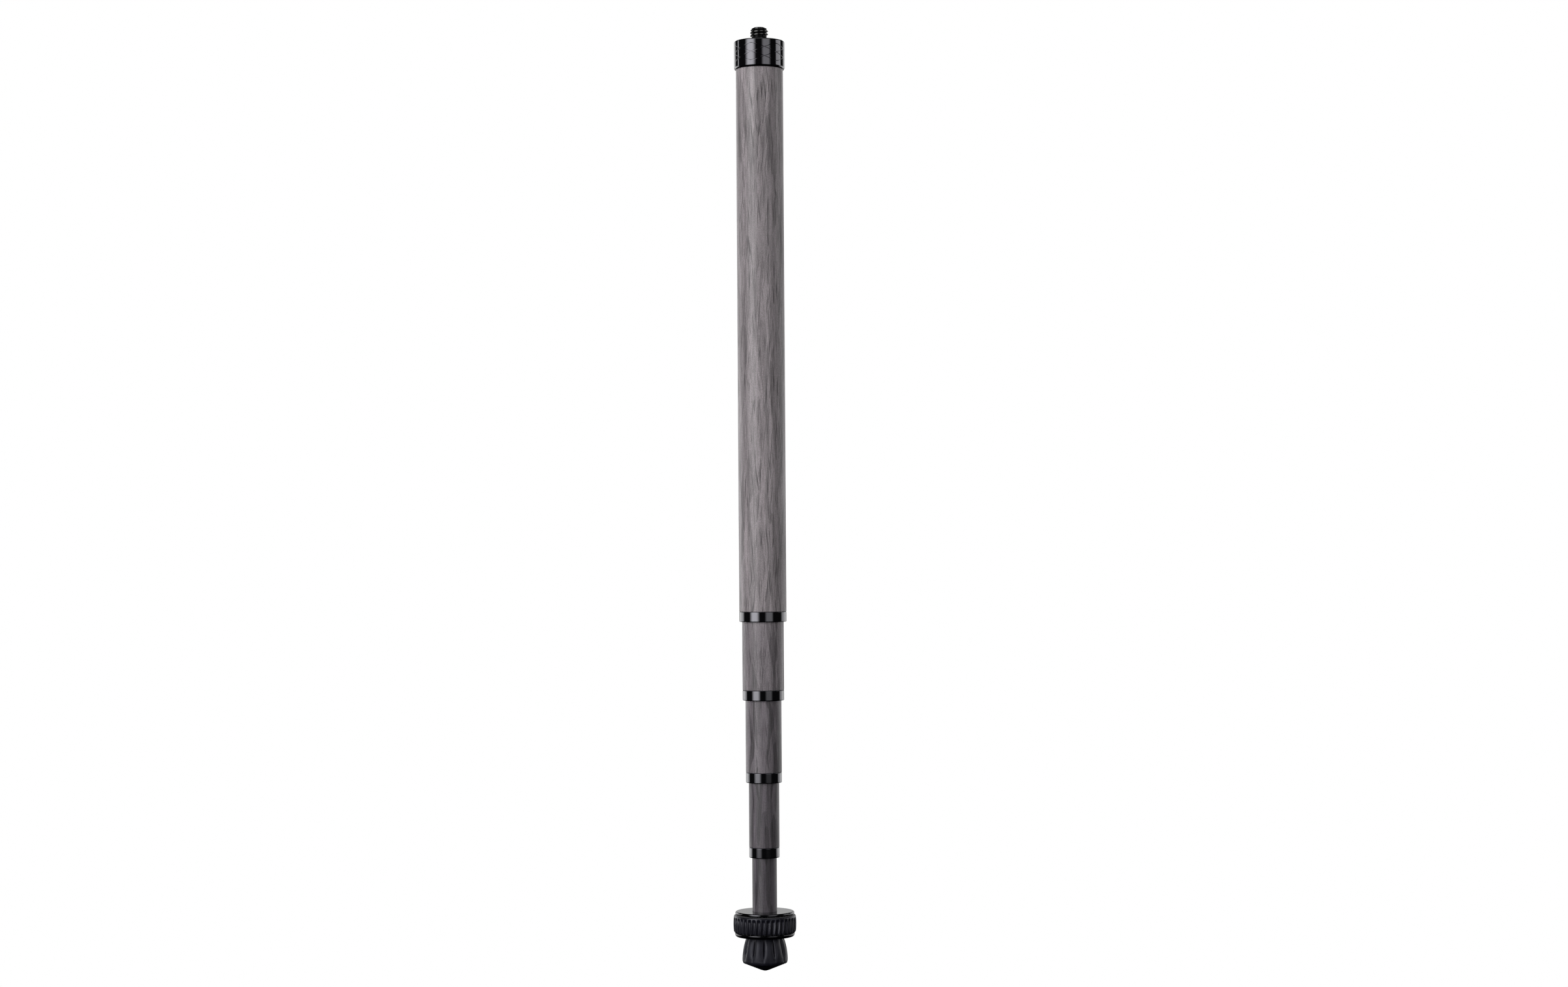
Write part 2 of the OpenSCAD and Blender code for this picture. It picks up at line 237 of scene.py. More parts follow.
def carbon_laminate(name, shade, radius, wedges):
    """Unidirectional carbon laminate, rolled and satin lacquered. The eye gets an even grey with
    thin dark splits that lean both ways and meet in long points, faint bundles between them and
    a fine speckle. Thin splits are up to 0.5 mm wide and 15 mm long, broad ones up to 2 mm and
    30 mm, bundles nearly 3 mm wide and the speckle 0.35 mm, far coarser than the real 7 micron
    fibres so that they show. wedges from 0 to 1 makes the broad splits wider and darker and the
    thin ones fainter, as on the thin tubes."""
    made, tree, place = new_material(name)
    # The fibres wander by up to a millimetre
    drift = add(tree, "ShaderNodeTexNoise", {
        "Vector": stretched(tree, place, 7 * MM, 3), "Scale": 1, "Detail": 1}).outputs["Color"]
    bent = add(tree, "ShaderNodeMix", {
        "Factor": MM, 6: place, 7: drift}, data_type="RGBA", blend_type="ADD").outputs[2]
    faint = 0.25 * wedges
    # Lean in degrees, size of the noise across in mm, its length over its width, the values
    # at a split's dark core and at its clear edge, and the light that is left in the core
    layers = [
        (5, 0.7, 24, 0.24, 0.285, 0.42 + faint), (-3, 0.7, 28, 0.24, 0.285, 0.42 + faint),
        (-6, 0.55, 24, 0.25, 0.3, 0.55 + faint), (1, 0.6, 34, 0.25, 0.3, 0.6 + faint),
        (4, 0.45, 30, 0.28, 0.34, 0.78), (-4, 0.45, 30, 0.28, 0.34, 0.78),
        (4, 2.6, 13, 0.33 + 0.07 * wedges, 0.34 + 0.08 * wedges, 0.76 - 0.2 * wedges),
        (-3, 2.8, 13, 0.33 + 0.06 * wedges, 0.34 + 0.07 * wedges, 0.76 - 0.22 * wedges),
    ]
    light = None
    for lean, width, along, dark, clear, least in layers:
        turned = leaning(tree, bent, radius, lean)
        grain = add(tree, "ShaderNodeTexNoise", {
            "Vector": stretched(tree, turned, width * MM, along), "Scale": 1, "Detail": 0,
        }).outputs["Fac"]
        split = add(tree, "ShaderNodeMapRange", {
            "Value": grain, "From Min": dark, "From Max": clear, "To Min": least, "To Max": 1,
        }).outputs[0]
        light = split if light is None else add(tree, "ShaderNodeMath", {
            0: light, 1: split}, operation="MULTIPLY").outputs[0]
    cells = stretched(tree, leaning(tree, bent, radius, 2), 2.8 * MM, 13)
    bundle = add(tree, "ShaderNodeTexVoronoi", {
        "Vector": cells, "Scale": 1}, feature="F1").outputs["Color"]
    bundle = add(tree, "ShaderNodeSeparateColor", {0: bundle}).outputs[0]
    soft = add(tree, "ShaderNodeTexNoise", {
        "Vector": stretched(tree, bent, 3 * MM, 14), "Scale": 1, "Detail": 1}).outputs["Fac"]
    streaks = add(tree, "ShaderNodeTexNoise", {
        "Vector": stretched(tree, bent, 0.7 * MM, 14), "Scale": 1, "Detail": 2}).outputs["Fac"]
    speckle = add(tree, "ShaderNodeTexNoise", {
        "Vector": stretched(tree, place, 0.35 * MM, 1.3), "Scale": 1, "Detail": 2}).outputs["Fac"]
    # A pattern, the least and greatest of its values, and the factors on the light there
    factors = [
        (bundle, 0, 1, 0.88 - 0.16 * wedges, 1.12 + 0.18 * wedges),
        (soft, 0.3, 0.7, 0.86 + 0.06 * wedges, 1.14 - 0.06 * wedges),
        (streaks, 0.34, 0.66, 0.91, 1.09),
        (speckle, 0.34, 0.66, 0.8, 1.2),
    ]
    for value, low, high, least, most in factors:
        factor = add(tree, "ShaderNodeMapRange", {
            "Value": value, "From Min": low, "From Max": high, "To Min": least, "To Max": most})
        light = add(tree, "ShaderNodeMath", {
            0: light, 1: factor.outputs[0]}, operation="MULTIPLY").outputs[0]
    tone = add(tree, "ShaderNodeValToRGB", {0: soft}, stops=[
        (0.35, shaded(shade, 0.98)), (0.65, shaded(shade, 1.02))]).outputs["Color"]
    base = add(tree, "ShaderNodeVectorMath", {0: tone, "Scale": light}, operation="SCALE")
    relief = add(tree, "ShaderNodeBump", {
        "Height": light, "Strength": 0.12, "Distance": 0.03 * MM})
    gloss = add(tree, "ShaderNodeMapRange", {
        "Value": soft, "From Min": 0.3, "From Max": 0.7, "To Min": 0.48, "To Max": 0.42})
    return finish_with(made, tree, {
        "Base Color": base.outputs["Vector"], "Roughness": gloss.outputs[0], "IOR": 1.45,
        "Normal": relief.outputs["Normal"]})


def anodised_aluminium(name, shade):
    """Aluminium, turned, polished and anodised black. The anodic layer is clear and hard, so the
    eye gets a near black ground with crisp reflections. Faint turning marks 0.15 mm apart, round
    the axis on walls and faces alike, and a little haze keep them from being a perfect mirror."""
    made, tree, place = new_material(name)
    flat = add(tree, "ShaderNodeVectorMath", {0: place, 1: (1, 1, 0)}, operation="MULTIPLY")
    radius = add(tree, "ShaderNodeVectorMath", {0: flat.outputs[0]}, operation="LENGTH")
    height = add(tree, "ShaderNodeSeparateXYZ", {0: place}).outputs["Z"]
    lathe = add(tree, "ShaderNodeMath", {
        0: radius.outputs["Value"], 1: height}, operation="ADD").outputs[0]
    marks = add(tree, "ShaderNodeTexNoise", {
        "W": lathe, "Scale": 1 / (0.15 * MM), "Detail": 1}, noise_dimensions="1D").outputs["Fac"]
    haze = add(tree, "ShaderNodeTexNoise", {
        "Vector": stretched(tree, place, 4 * MM, 1), "Scale": 1, "Detail": 3}).outputs["Fac"]
    gloss = add(tree, "ShaderNodeMapRange", {
        "Value": haze, "From Min": 0.35, "From Max": 0.7, "To Min": 0.05, "To Max": 0.09})
    relief = add(tree, "ShaderNodeBump", {
        "Height": marks, "Strength": 0.02, "Distance": 0.01 * MM})
    tone = add(tree, "ShaderNodeValToRGB", {0: marks}, stops=[
        (0.35, shaded(shade, 0.8)), (0.65, shaded(shade, 1.25))]).outputs["Color"]
    return finish_with(made, tree, {
        "Base Color": tone, "Roughness": gloss.outputs[0], "IOR": 1.65,
        "Specular Tint": (0.93, 0.92, 1, 1), "Normal": relief.outputs["Normal"]})


def black_oxide_steel(name, shade):
    """Steel, thread cut and blackened in an oxide bath. The eye gets a dark satin metal with
    soft highlights on the crests and a faint 0.4 mm mottle from the bath."""
    made, tree, place = new_material(name)
    mottle = add(tree, "ShaderNodeTexNoise", {
        "Vector": stretched(tree, place, 0.4 * MM, 1), "Scale": 1, "Detail": 3}).outputs["Fac"]
    tone = add(tree, "ShaderNodeValToRGB", {0: mottle}, stops=[
        (0.3, shaded(shade, 0.95)), (0.7, shaded(shade, 1.05))]).outputs["Color"]
    gloss = add(tree, "ShaderNodeMapRange", {
        "Value": mottle, "From Min": 0.3, "From Max": 0.7, "To Min": 0.2, "To Max": 0.22})
    return finish_with(made, tree, {
        "Base Color": tone, "Roughness": gloss.outputs[0], "IOR": 1.5})


def moulded_rubber(name, shade, wear=0):
    """Rubber, compression moulded and matte. The eye gets a soft charcoal with a faint bloom in
    patches of 3 mm and a mould grain. The grain is 0.35 mm, coarser than the real 0.1 mm, so
    that it shows. wear adds the gloss and the pale sheen at a slant that handling leaves."""
    made, tree, place = new_material(name)
    grain = add(tree, "ShaderNodeTexNoise", {
        "Vector": stretched(tree, place, 0.35 * MM, 1), "Scale": 1, "Detail": 2}).outputs["Fac"]
    bloom = add(tree, "ShaderNodeTexNoise", {
        "Vector": stretched(tree, place, 3 * MM, 1.6), "Scale": 1, "Detail": 3}).outputs["Fac"]
    tone = add(tree, "ShaderNodeValToRGB", {0: bloom}, stops=[
        (0.3, shaded(shade, 0.72)), (0.55, shade), (0.75, shaded(shade, 1.5)),
    ]).outputs["Color"]
    relief = add(tree, "ShaderNodeBump", {
        "Height": grain, "Strength": 0.1, "Distance": 0.02 * MM})
    gloss = add(tree, "ShaderNodeMapRange", {
        "Value": bloom, "From Min": 0.3, "From Max": 0.7,
        "To Min": 0.44 - wear, "To Max": 0.54 - wear})
    return finish_with(made, tree, {
        "Base Color": tone, "Roughness": gloss.outputs[0], "IOR": 1.37 + 0.5 * wear,
        "Sheen Weight": wear, "Sheen Roughness": 0.35,
        "Specular Tint": (0.9, 0.9, 1, 1), "Normal": relief.outputs["Normal"]})


def turned_metal(name, shade, rough):
    """Bare metal, turned on a lathe. The eye gets a bright grey with fine rings round the
    axis, 0.1 mm apart, that stretch the highlights along it."""
    made, tree, place = new_material(name)
    marks = add(tree, "ShaderNodeTexNoise", {
        "Vector": stretched(tree, place, 5 * MM, 0.02), "Scale": 1, "Detail": 2}).outputs["Fac"]
    tone = add(tree, "ShaderNodeValToRGB", {0: marks}, stops=[
        (0.3, shaded(shade, 0.86)), (0.7, shaded(shade, 1.08))]).outputs["Color"]
    gloss = add(tree, "ShaderNodeMapRange", {
        "Value": marks, "From Min": 0.3, "From Max": 0.7, "To Min": rough, "To Max": rough + 0.1})
    relief = add(tree, "ShaderNodeBump", {
        "Height": marks, "Strength": 0.2, "Distance": 0.01 * MM})
    return finish_with(made, tree, {
        "Base Color": tone, "Metallic": 1, "Roughness": gloss.outputs[0],
        "Normal": relief.outputs["Normal"]})


def moulded_acetal(name, shade):
    """Acetal, injection moulded. The eye gets a smooth, slightly waxy plastic with faint
    flow marks 2 mm wide and a soft sheen."""
    made, tree, place = new_material(name)
    flow = add(tree, "ShaderNodeTexNoise", {
        "Vector": stretched(tree, place, 2 * MM, 2), "Scale": 1, "Detail": 2,
        "Distortion": 0.6}).outputs["Fac"]
    tone = add(tree, "ShaderNodeValToRGB", {0: flow}, stops=[
        (0.3, shaded(shade, 0.94)), (0.7, shaded(shade, 1.03))]).outputs["Color"]
    gloss = add(tree, "ShaderNodeMapRange", {
        "Value": flow, "From Min": 0.3, "From Max": 0.7, "To Min": 0.34, "To Max": 0.42})
    return finish_with(made, tree, {
        "Base Color": tone, "Roughness": gloss.outputs[0], "IOR": 1.48})


MAKERS = {
    "anodised_aluminium": lambda name: anodised_aluminium(name, colours().anodised),
    "black_oxide_steel": lambda name: black_oxide_steel(name, colours().oxide),
    "moulded_rubber": lambda name: moulded_rubber(name, colours().rubber),
    "moulded_rubber_handled": lambda name: moulded_rubber(name, colours().rubber, wear=0.16),
    "turned_aluminium": lambda name: turned_metal(name, colours().alloy, rough=0.28),
    "zinc_plated_steel": lambda name: turned_metal(name, colours().steel, rough=0.22),
    "moulded_acetal": lambda name: moulded_acetal(name, colours().acetal),
    "black_acetal": lambda name: moulded_acetal(name, colours().acetal_black),
}


def finish(name):
    """The material of that name, made the first time it is asked for."""
    return bpy.data.materials.get(name) or MAKERS[name](name)


# Meshes

def close_mesh(shape, mesh, crease=38):
    """Merges doubles, turns the faces outwards, and shades smooth but for real edges."""
    bmesh.ops.remove_doubles(shape, verts=shape.verts, dist=1e-7)
    bmesh.ops.dissolve_degenerate(shape, dist=1e-7, edges=shape.edges)
    bmesh.ops.recalc_face_normals(shape, faces=shape.faces)
    shape.to_mesh(mesh)
    shape.free()
    mesh.shade_smooth()
    mesh.set_sharp_from_angle(angle=radians(crease))


def turn(name, outline, columns, sweep=2 * pi):
    """Turns a closed outline round the axis. outline(angle) gives its (radius, height) points,
    each with an angle to shift it by if it has one, and as many points at every angle. A sweep
    of less than a full turn gives a sector that is open at both sides, for repeated to join."""
    shape = bmesh.new()
    rows = []
    for column in range(columns + 1):
        angle = sweep * column / columns
        row = []
        for r, z, *shift in outline(angle):
            at = angle + sum(shift)
            row.append(shape.verts.new((r * cos(at), r * sin(at), z)))
        rows.append(row)
    for here, there in zip(rows, rows[1:]):
        for i in range(len(here)):
            shape.faces.new((here[i - 1], there[i - 1], there[i], here[i]))
    mesh = bpy.data.meshes.new(name)
    if sweep == 2 * pi:
        close_mesh(shape, mesh)
    else:
        shape.to_mesh(mesh)
        shape.free()
    piece = bpy.data.objects.new(name, mesh)
    bpy.context.scene.collection.objects.link(piece)
    return piece


def repeat_tree():
    """Geometry Nodes that repeat a sector round the axis and give it its material."""
    name = "Repeat round the axis"
    tree = bpy.data.node_groups.get(name)
    if tree:
        return tree
    tree = bpy.data.node_groups.new(name, "GeometryNodeTree")
    for label, kind in (("Sector", "Geometry"), ("Copies", "Int"), ("Finish", "Material")):
        tree.interface.new_socket(label, in_out="INPUT", socket_type="NodeSocket" + kind)
    tree.interface.new_socket("Ring", in_out="OUTPUT", socket_type="NodeSocketGeometry")
    given = add(tree, "NodeGroupInput").outputs
    spots = add(tree, "GeometryNodePoints", {"Count": given["Copies"]}).outputs[0]
    step = add(tree, "ShaderNodeMath", {0: 2 * pi, 1: given["Copies"]}, operation="DIVIDE")
    angle = add(tree, "ShaderNodeMath", {
        0: add(tree, "GeometryNodeInputIndex").outputs[0], 1: step.outputs[0],
    }, operation="MULTIPLY").outputs[0]
    turned = add(tree, "FunctionNodeEulerToRotation", {
        "Euler": add(tree, "ShaderNodeCombineXYZ", {"Z": angle}).outputs[0]}).outputs[0]
    placed = add(tree, "GeometryNodeInstanceOnPoints", {
        "Points": spots, "Instance": given["Sector"], "Rotation": turned}).outputs[0]
    real = add(tree, "GeometryNodeRealizeInstances", {"Geometry": placed}).outputs[0]
    finished = add(tree, "GeometryNodeSetMaterial", {
        "Geometry": real, "Material": given["Finish"]}).outputs[0]
    add(tree, "NodeGroupOutput", {"Ring": finished})
    return tree


def repeated(sector, copies, material, crease=38):
    """Repeats a sector round the axis and leaves it as one closed, plain mesh."""
    modifier = sector.modifiers.new("Repeat", "NODES")
    modifier.node_group = repeat_tree()
    values = {"Copies": copies, "Finish": material}
    for socket in modifier.node_group.interface.items_tree:
        if socket.name in values:
            modifier[socket.identifier] = values[socket.name]
    bpy.context.view_layer.update()
    evaluated = sector.evaluated_get(bpy.context.evaluated_depsgraph_get())
    ring = bpy.data.meshes.new_from_object(evaluated)
    sector.modifiers.clear()
    old = sector.data
    sector.data = ring
    bpy.data.meshes.remove(old)
    shape = bmesh.new()
    shape.from_mesh(ring)
    close_mesh(shape, ring, crease)
    ring.name = sector.name
    return sector


def fit(piece, node, material=None):
    """Puts a finished piece in the place of its CAD node."""
    if material:
        piece.data.materials.clear()
        piece.data.materials.append(material)
    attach(piece, body_of(node))
    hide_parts(node)


def smooth(low, high, value):
    """0 below low, 1 above high, and a smooth rise between them."""
    part = min(1, max(0, (value - low) / (high - low)))
    return part * part * (3 - 2 * part)


def rim(r, middle, half, steps=10):
    """A half circle's points, from its upper end round to its lower end. A point on the flat
    before and after it keeps the flats' shading flat."""
    flat = r - half - 0.1 * MM
    points = [(r - half + half * sin(pi * i / steps), middle + half * cos(pi * i / steps))
              for i in range(steps + 1)]
    return [(flat, middle + half), *points, (flat, middle - half)]


def corner(r, z, out, up, radius, steps=3):
    """The rounded corner at (r, z) of an outline, from wall to face. out and up, 1 or -1, say
    which way it points. A point before and after it keeps the shading of wall and face flat."""
    centre_r, centre_z, beyond = r - out * radius, z - up * radius, 0.08 * MM
    points = [(centre_r + out * radius * cos(pi / 2 * i / steps),
               centre_z + up * radius * sin(pi / 2 * i / steps)) for i in range(steps + 1)]
    return [(r, centre_z - up * beyond), *points, (centre_r - out * beyond, z)]


def screw_thread(angle, crest, root, pitch, bottom, top, nose):
    """The points of a right hand thread at one angle, from bottom to top, with flat crests and
    sharp roots. nose gives the greatest radius at a depth below the top."""
    steps = 16
    half_crest = 1 / 8
    turns = ceil((top - bottom) / pitch) + 1
    points = []
    for i in range(steps * turns + 1):
        z = bottom + (i / steps - 1 + angle / (2 * pi)) * pitch
        z = min(max(z, bottom), top)
        part = ((z - bottom) / pitch - angle / (2 * pi)) % 1
        fall = max(0, (abs(part - 0.5) - half_crest) / (0.5 - half_crest))
        r = crest + (root - crest) * fall
        points.append((min(r, nose(top - z)), z))
    return points


# Operators, one for each piece or group of like pieces

class MakeStud(bpy.types.Operator):
    """Make the camera stud with its real right hand thread, which runs out above the cap."""

    bl_idname = "monopod.make_stud"
    bl_label = "Camera Stud"

    def execute(self, context):
        head, bottom, top = reach("camera_stud")
        # The cap's plate lies on the bumper
        plate = reach("bumper")[2]
        crest, pitch, shoulder = 4.75 * MM, sizes().stud_pitch, 5.5 * MM
        root = crest - THREAD_DEPTH * pitch
        run_out, bevel = 2.9 * MM, 0.3 * MM

        def nose(depth):
            """A neck that widens towards the cap below run_out. At the top a steep bevel, then a
            nearly upright one, and the full thread from there."""
            if top - depth < run_out:
                return root + 0.41 * (run_out - top + depth)
            steep = 2.9 * MM + 2.2 * depth
            upright = 3.95 * MM + 0.15 * depth
            return min(steep, upright + 1.2 * max(0, depth - 1 * MM))

        def outline(angle):
            return [
                (0, bottom), (head - bevel, bottom), (head, bottom + bevel),
                (head, plate), (shoulder, plate), (shoulder, 0),
                *screw_thread(angle, crest, root, pitch, 0, top, nose), (0, top),
            ]

        piece = turn("camera_stud_threaded", outline, columns=96)
        fit(piece, "camera_stud", finish("black_oxide_steel"))
        return {"FINISHED"}


class MakeCap(bpy.types.Operator):
    """Make the cap with the crossing waves that are engraved round it."""

    bl_idname = "monopod.make_cap"
    bl_label = "Cap"

    def execute(self, context):
        s = sizes()
        r, bottom, top = reach("cap")
        plate = reach("bumper")[2]
        bore = reach("tube_1")[0] + 0.05 * MM
        hole, bevel, chamfer = 5.55 * MM, 0.2 * MM, 0.5 * MM
        margin, blend = 0.1 * MM, 0.04 * MM
        middle = top - 7.1 * MM
        rows, hem_rows, hem_inset, hem_height = 150, 8, 0.75 * MM, 1.5 * MM
        # Each wave has three crests in two turns, and four waves cross. At a straightness of 1
        # they would be zigzags
        frequency, waves, straightness = 1.5, 4, 0.995

        def cut(angle, z):
            """Depth of the nearest wave. The waves are straight, with rounded crests."""
            deepest = 0
            for k in range(waves):
                turned = frequency * (angle - FRONT - s.wave_phase - k * pi / 3)
                size = s.wave_height / asin(straightness)
                wave = straightness * cos(turned)
                slope = -frequency * size * straightness * sin(turned) / sqrt(1 - wave * wave) / r
                away = abs(z - middle - size * asin(wave)) / sqrt(1 + slope * slope)
                share = min(1, away / (s.wave_width / 2))
                deepest = max(deepest, (1 + cos(pi * share)) / 2)
            return deepest * s.wave_depth

        def outline(angle):
            points = [
                (bore, bottom), (bore, plate), (hole, plate), (hole, top - bevel),
                (hole + bevel, top), (r - chamfer - margin, top),
                (r - chamfer, top - blend), (r - blend, top - chamfer),
            ]
            high, low = top - chamfer - margin, bottom + hem_height
            for i in range(rows + 1):
                z = high + (low - high) * i / rows
                points.append((r - cut(angle, z), z))
            for i in range(1, hem_rows + 1):
                t = pi / 2 * i / hem_rows
                points.append((r - hem_inset + hem_inset * cos(t), low - hem_height * sin(t)))
            return points

        copies = 6
        sector = turn("cap_engraved", outline, columns=84, sweep=2 * pi / copies)
        metal = finish("anodised_aluminium")
        fit(repeated(sector, copies, metal, crease=30), "cap")
        return {"FINISHED"}


class MakeTubes(bpy.types.Operator):
    """Make the five carbon tubes, each with lightly rounded ends."""

    bl_idname = "monopod.make_tubes"
    bl_label = "Carbon Tubes"

    def execute(self, context):
        thick, thin = colours().laminate, colours().laminate_thin_shaded
        for n in TUBES:
            r, bottom, top = reach(f"tube_{n}")
            wall, edge = 1 * MM, sizes().edge
            bore = r - wall
            points = [
                (bore, top), *reversed(corner(r, top, 1, 1, edge)),
                *corner(r, bottom, 1, -1, edge), (bore, bottom),
            ]
            # The lower, thinner tubes get darker colours, in part a painted shade for the light
            # that falls off towards the bottom
            share = (n - 1) / (len(TUBES) - 1)
            shade = [a * (b / a) ** share for a, b in zip(thick, thin)]
            wedges = min(1, 0.5 * (n - 1))
            piece = turn(f"tube_{n}_laminate", lambda angle: points, sizes().columns)
            fit(piece, f"tube_{n}",
                carbon_laminate(f"carbon_laminate_{n}", shade, r, wedges))
        return {"FINISHED"}


class MakeCollars(bpy.types.Operator):
    """Make the four polished collars below the outer tubes, with a thin dark line of matte rubber
    finish in the joint above each, a painted shade for the narrow groove there."""

    bl_idname = "monopod.make_collars"
    bl_label = "Collars"

    def execute(self, context):
        for n in TUBES[:-1]:
            r, bottom, top = reach(f"collar_{n}")
            mouth = reach(f"tube_{n + 1}")[0] + 0.3 * MM
            bore, lip, edge = r - 1 * MM, bottom + 1 * MM, sizes().edge
            bevel = 0.15 * MM
            seam, step = r - 0.25 * MM, top - 0.2 * MM
            points = [
                (bore, top), (seam, top), (seam, step),
                *reversed(corner(r, step, 1, 1, edge * 0.4)),
                *corner(r, bottom, 1, -1, edge * 1.7), (mouth + bevel, bottom),
                (mouth, bottom + bevel), (mouth, lip), (bore, lip),
            ]
            piece = turn(f"collar_{n}_polished", lambda angle: points, sizes().columns)
            fit(piece, f"collar_{n}", finish("anodised_aluminium"))
            # The joint's faces get the dark rubber finish, a painted shade for the narrow groove
            # between tube and collar
            piece.data.materials.append(finish("moulded_rubber"))
            joint_shade_from = seam - 0.05 * MM
            for face in piece.data.polygons:
                if face.center.z > step and face.center.xy.length > joint_shade_from:
                    face.material_index = 1
        return {"FINISHED"}


class MakeSpool(bpy.types.Operator):
    """Make the grip wheel's spool, with a rolled upper flange and a bowl shaped lower one."""

    bl_idname = "monopod.make_spool"
    bl_label = "Wheel Spool"

    def execute(self, context):
        _, bottom, top = reach("wheel_hub")
        upper, lower, core = 15.6 * MM, 15.8 * MM, 12.8 * MM
        upper_height, lower_height = 1.6 * MM, 1.8 * MM
        socket, seat = reach("tube_5")[0] + 0.05 * MM, reach("tube_5")[1]
        bore, bevel, edge = 4.05 * MM, 0.15 * MM, 0.25 * MM
        bowl_inset, bowl_height, steps = 0.9 * MM, 1.4 * MM, 10
        bowl = [(lower - bowl_inset * (1 - cos(pi / 2 * i / steps)),
                 bottom + bowl_height * (1 - sin(pi / 2 * i / steps))) for i in range(steps + 1)]
        points = [
            (socket + bevel, top), *rim(upper, top - upper_height / 2, upper_height / 2),
            (core, top - upper_height), (core, bottom + lower_height),
            *reversed(corner(lower, bottom + lower_height, 1, 1, edge)),
            *bowl, (bore, bottom), (bore, seat), (socket, seat), (socket, top - bevel),
        ]
        piece = turn("wheel_spool", lambda angle: points, sizes().columns)
        fit(piece, "wheel_hub", finish("anodised_aluminium"))
        return {"FINISHED"}


class MakeGripBand(bpy.types.Operator):
    """Make the rubber grip band with its bowed ribs."""

    bl_idname = "monopod.make_grip_band"
    bl_label = "Grip Band"

    def execute(self, context):
        s = sizes()
        r, bottom, top = reach("wheel_band")
        inner, end = 12.85 * MM, 16.3 * MM
        swell, height = r - end, top - bottom
        sweep = 2 * pi / s.rib_count
        pitch = r * sweep
        half_width, fade = 0.43 * pitch, 2 * MM
        rows, edge = 36, 0.7 * MM

        def hollow(x, z):
            """Depth of a hollow that runs out at the lower edge, x from its middle line."""
            across = min(1, abs(x) / half_width)
            start = smooth(s.rib_margin, s.rib_margin + fade, top - z)
            return s.rib_depth * (1 - across ** 2.2) * start

        def outline(angle):
            """The band swells at mid height and the ribs bend over its lower part."""
            x = (angle / sweep - 0.5) * pitch
            points = [(inner, bottom, s.rib_turn), (inner, top, s.rib_turn)]
            for i in range(rows + 1):
                z = top - height * (1 - cos(pi * i / rows)) / 2
                place = (top - z) / height
                skin = end + swell * (1 - (2 * place - 1) ** 2)
                near = min(top - z, z - bottom)
                if near < edge:
                    skin -= edge - sqrt(edge * edge - (edge - near) ** 2)
                bow = s.rib_turn - s.rib_bow * smooth(0.35, 1, place) / r
                points.append((skin - hollow(x, z), z, bow))
            return points

        sector = turn("grip_band_ribbed", outline, columns=22, sweep=sweep)
        rubber = finish("moulded_rubber_handled")
        fit(repeated(sector, s.rib_count, rubber, crease=50), "wheel_band")
        return {"FINISHED"}


class MakeFoot(bpy.types.Operator):
    """Make the rubber foot with its petals and its pointed tip."""

    bl_idname = "monopod.make_foot"
    bl_label = "Rubber Foot"

    def execute(self, context):
        s = sizes()
        r, bottom, top = reach("foot_rubber")
        seat_radius, seat_height = 7.45 * MM, reach("foot_stud")[1] - 0.05 * MM
        straight, arc_radius, skirt_height, tip_radius = 2.2 * MM, 29 * MM, 13.3 * MM, 1.1 * MM
        soft, tuck, bevel, crease_depth = 1.5 * MM, 0.42 * MM, 0.1 * MM, 0.5 * MM
        hem = top - skirt_height
        cone_radius, cone_height = r - 0.9 * MM, hem - 0.27 * MM
        sweep = 2 * pi / s.petal_count
        columns, rows, cone_rows = 30, 48, 8
        ridge_column = 12

        def skin(z):
            """Radius of the plain skirt at height z. It is straight low down, curves in towards
            the top and tucks in a little at its lower edge."""
            h = max(0, z - hem - straight)
            low = z - hem
            inward = tuck * (1 - low / soft) ** 2 if low < soft else 0
            return r - arc_radius + sqrt(arc_radius ** 2 - h * h) - inward

        def outline(angle):
            """Each petal rises steeply from the valley on its left to a ridge and falls slowly.
            Valleys and creases fade towards the hem."""
            part = angle / sweep
            nominal = ridge_column / columns
            points = [(0, seat_height), (seat_radius, seat_height), (seat_radius, top - bevel),
                      (seat_radius + bevel, top)]
            points = [(x, z, s.petal_turn) for x, z in points]
            for i in range(rows + 1):
                t = i / rows
                z = top - skirt_height * t
                ridge = 0.26 + 0.14 * sin(pi * min(1, 1.1 * t)) - 0.06 * smooth(0.6, 1, t)
                if part <= nominal:
                    u = part / nominal * ridge
                    relief = (1 - part / nominal) ** 1.8
                else:
                    u = ridge + (part - nominal) / (1 - nominal) * (1 - ridge)
                    relief = ((u - ridge) / (1 - ridge)) ** 2.2
                depth = s.petal_depth * (0.6 + 0.4 * smooth(0, 0.3, t))
                depth *= 1 - 0.72 * smooth(0.5, 0.82, t) - 0.28 * smooth(0.82, 0.98, t)
                crease = crease_depth * (1 - smooth(0, 0.07, min(u, 1 - u)))
                crease *= smooth(0.05, 0.3, t) * (1 - smooth(0.6, 0.85, t))
                points.append((skin(z) - depth * relief - crease, z,
                               s.petal_turn + (u - part) * sweep))
            # The hem turns over into the cone, which ends in a blunt tip
            cone = [(r - 0.45 * MM, hem - 0.09 * MM), (cone_radius, cone_height)]
            slope = (cone_height - bottom) / (cone_radius - tip_radius)
            for i in range(1, cone_rows):
                at = cone_radius + (tip_radius - cone_radius) * i / cone_rows
                cone.append((at, cone_height - slope * (cone_radius - at)))
            cone += [(tip_radius, bottom + 0.12 * MM), (tip_radius * 0.6, bottom + 0.02 * MM),
                     (0, bottom)]
            return points + [(x, z, s.petal_turn) for x, z in cone]

        sector = turn("foot_petals", outline, columns, sweep=sweep)
        rubber = finish("moulded_rubber")
        fit(repeated(sector, s.petal_count, rubber, crease=34), "foot_rubber")
        return {"FINISHED"}


